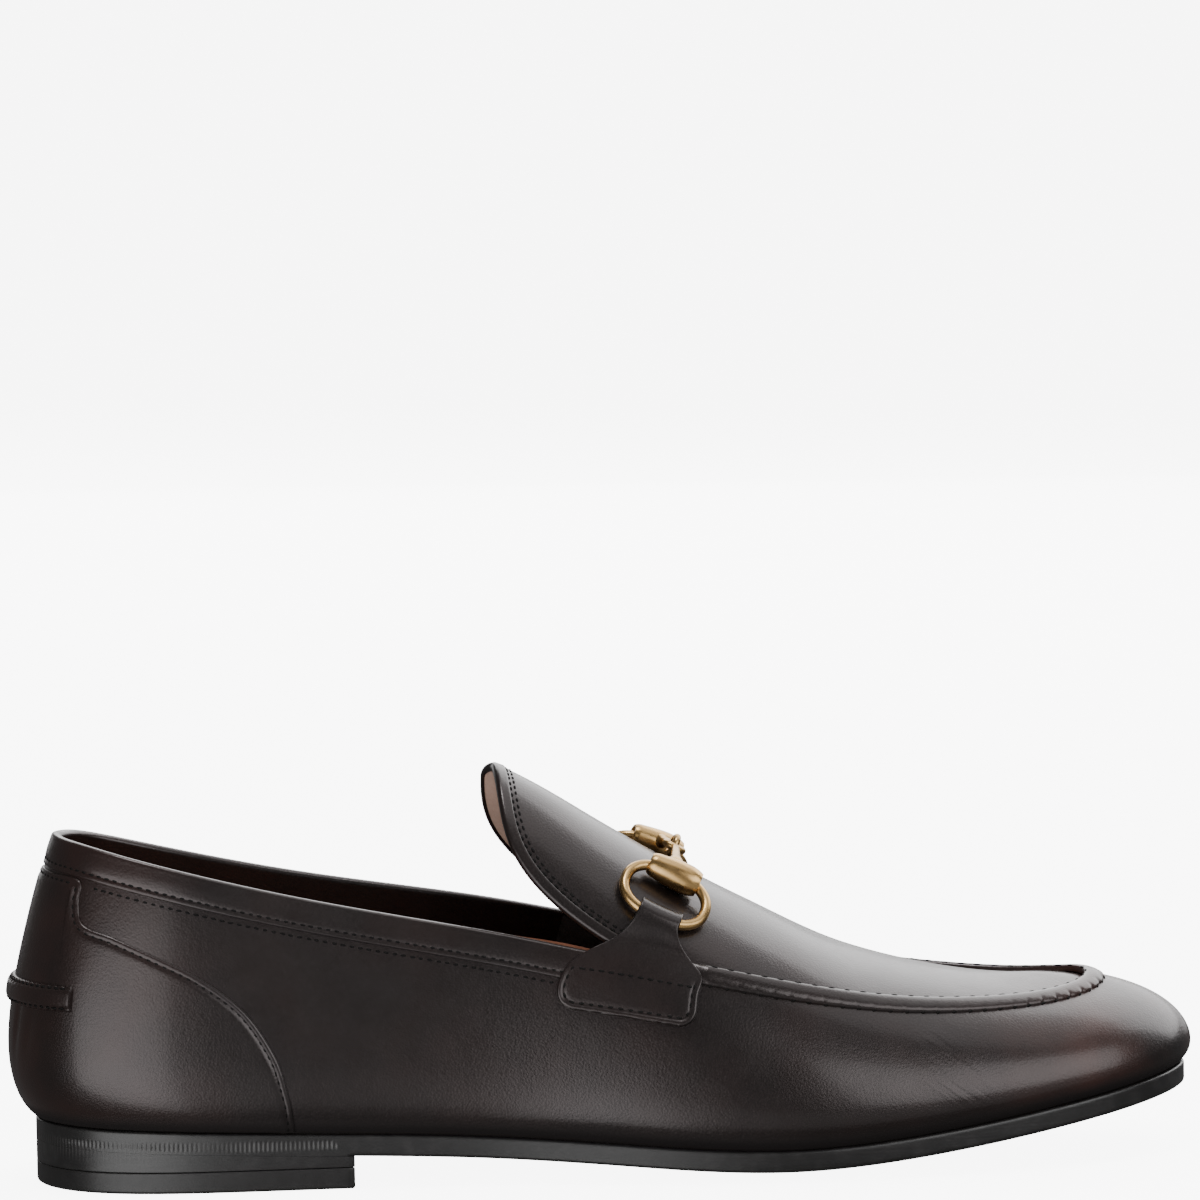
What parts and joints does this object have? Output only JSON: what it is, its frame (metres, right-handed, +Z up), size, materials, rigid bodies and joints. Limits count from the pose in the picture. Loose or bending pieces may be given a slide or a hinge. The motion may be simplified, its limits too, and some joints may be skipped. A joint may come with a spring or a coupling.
{
  "type": "bit loafer",
  "caption": "Low slip-on shoe with a rolled apron seam, a high tongue, a heel counter, a low stacked heel and a metal snaffle bit held by leather tabs over the vamp.",
  "frame": {"origin": "on the ground, under the middle of the shoe's box", "axes": "+X from heel to toe, -Y to the lateral side, +Z up"},
  "size_m": [0.3038, 0.094, 0.1023],
  "materials": {
    "upper_leather": "smooth polished black-brown calf leather",
    "sole_leather": "black stained and waxed sole leather",
    "lift_rubber": "black hard rubber",
    "lining_leather": "matt tan lining leather",
    "bit_brass": "polished antique brass"
  },
  "bodies": {
    "root": {"outsole": "sole_leather", "heel_stack": "sole_leather", "top_lift": "lift_rubber", "insole": "lining_leather", "upper": "upper_leather", "heel_counter": "upper_leather", "back_strap": "upper_leather", "strap_tab_lateral": "upper_leather", "strap_tab_medial": "upper_leather", "bit_ring_lateral": "bit_brass", "bit_ring_medial": "bit_brass", "bit_link_lateral": "bit_brass", "bit_link_medial": "bit_brass"}
  },
  "joints": []
}
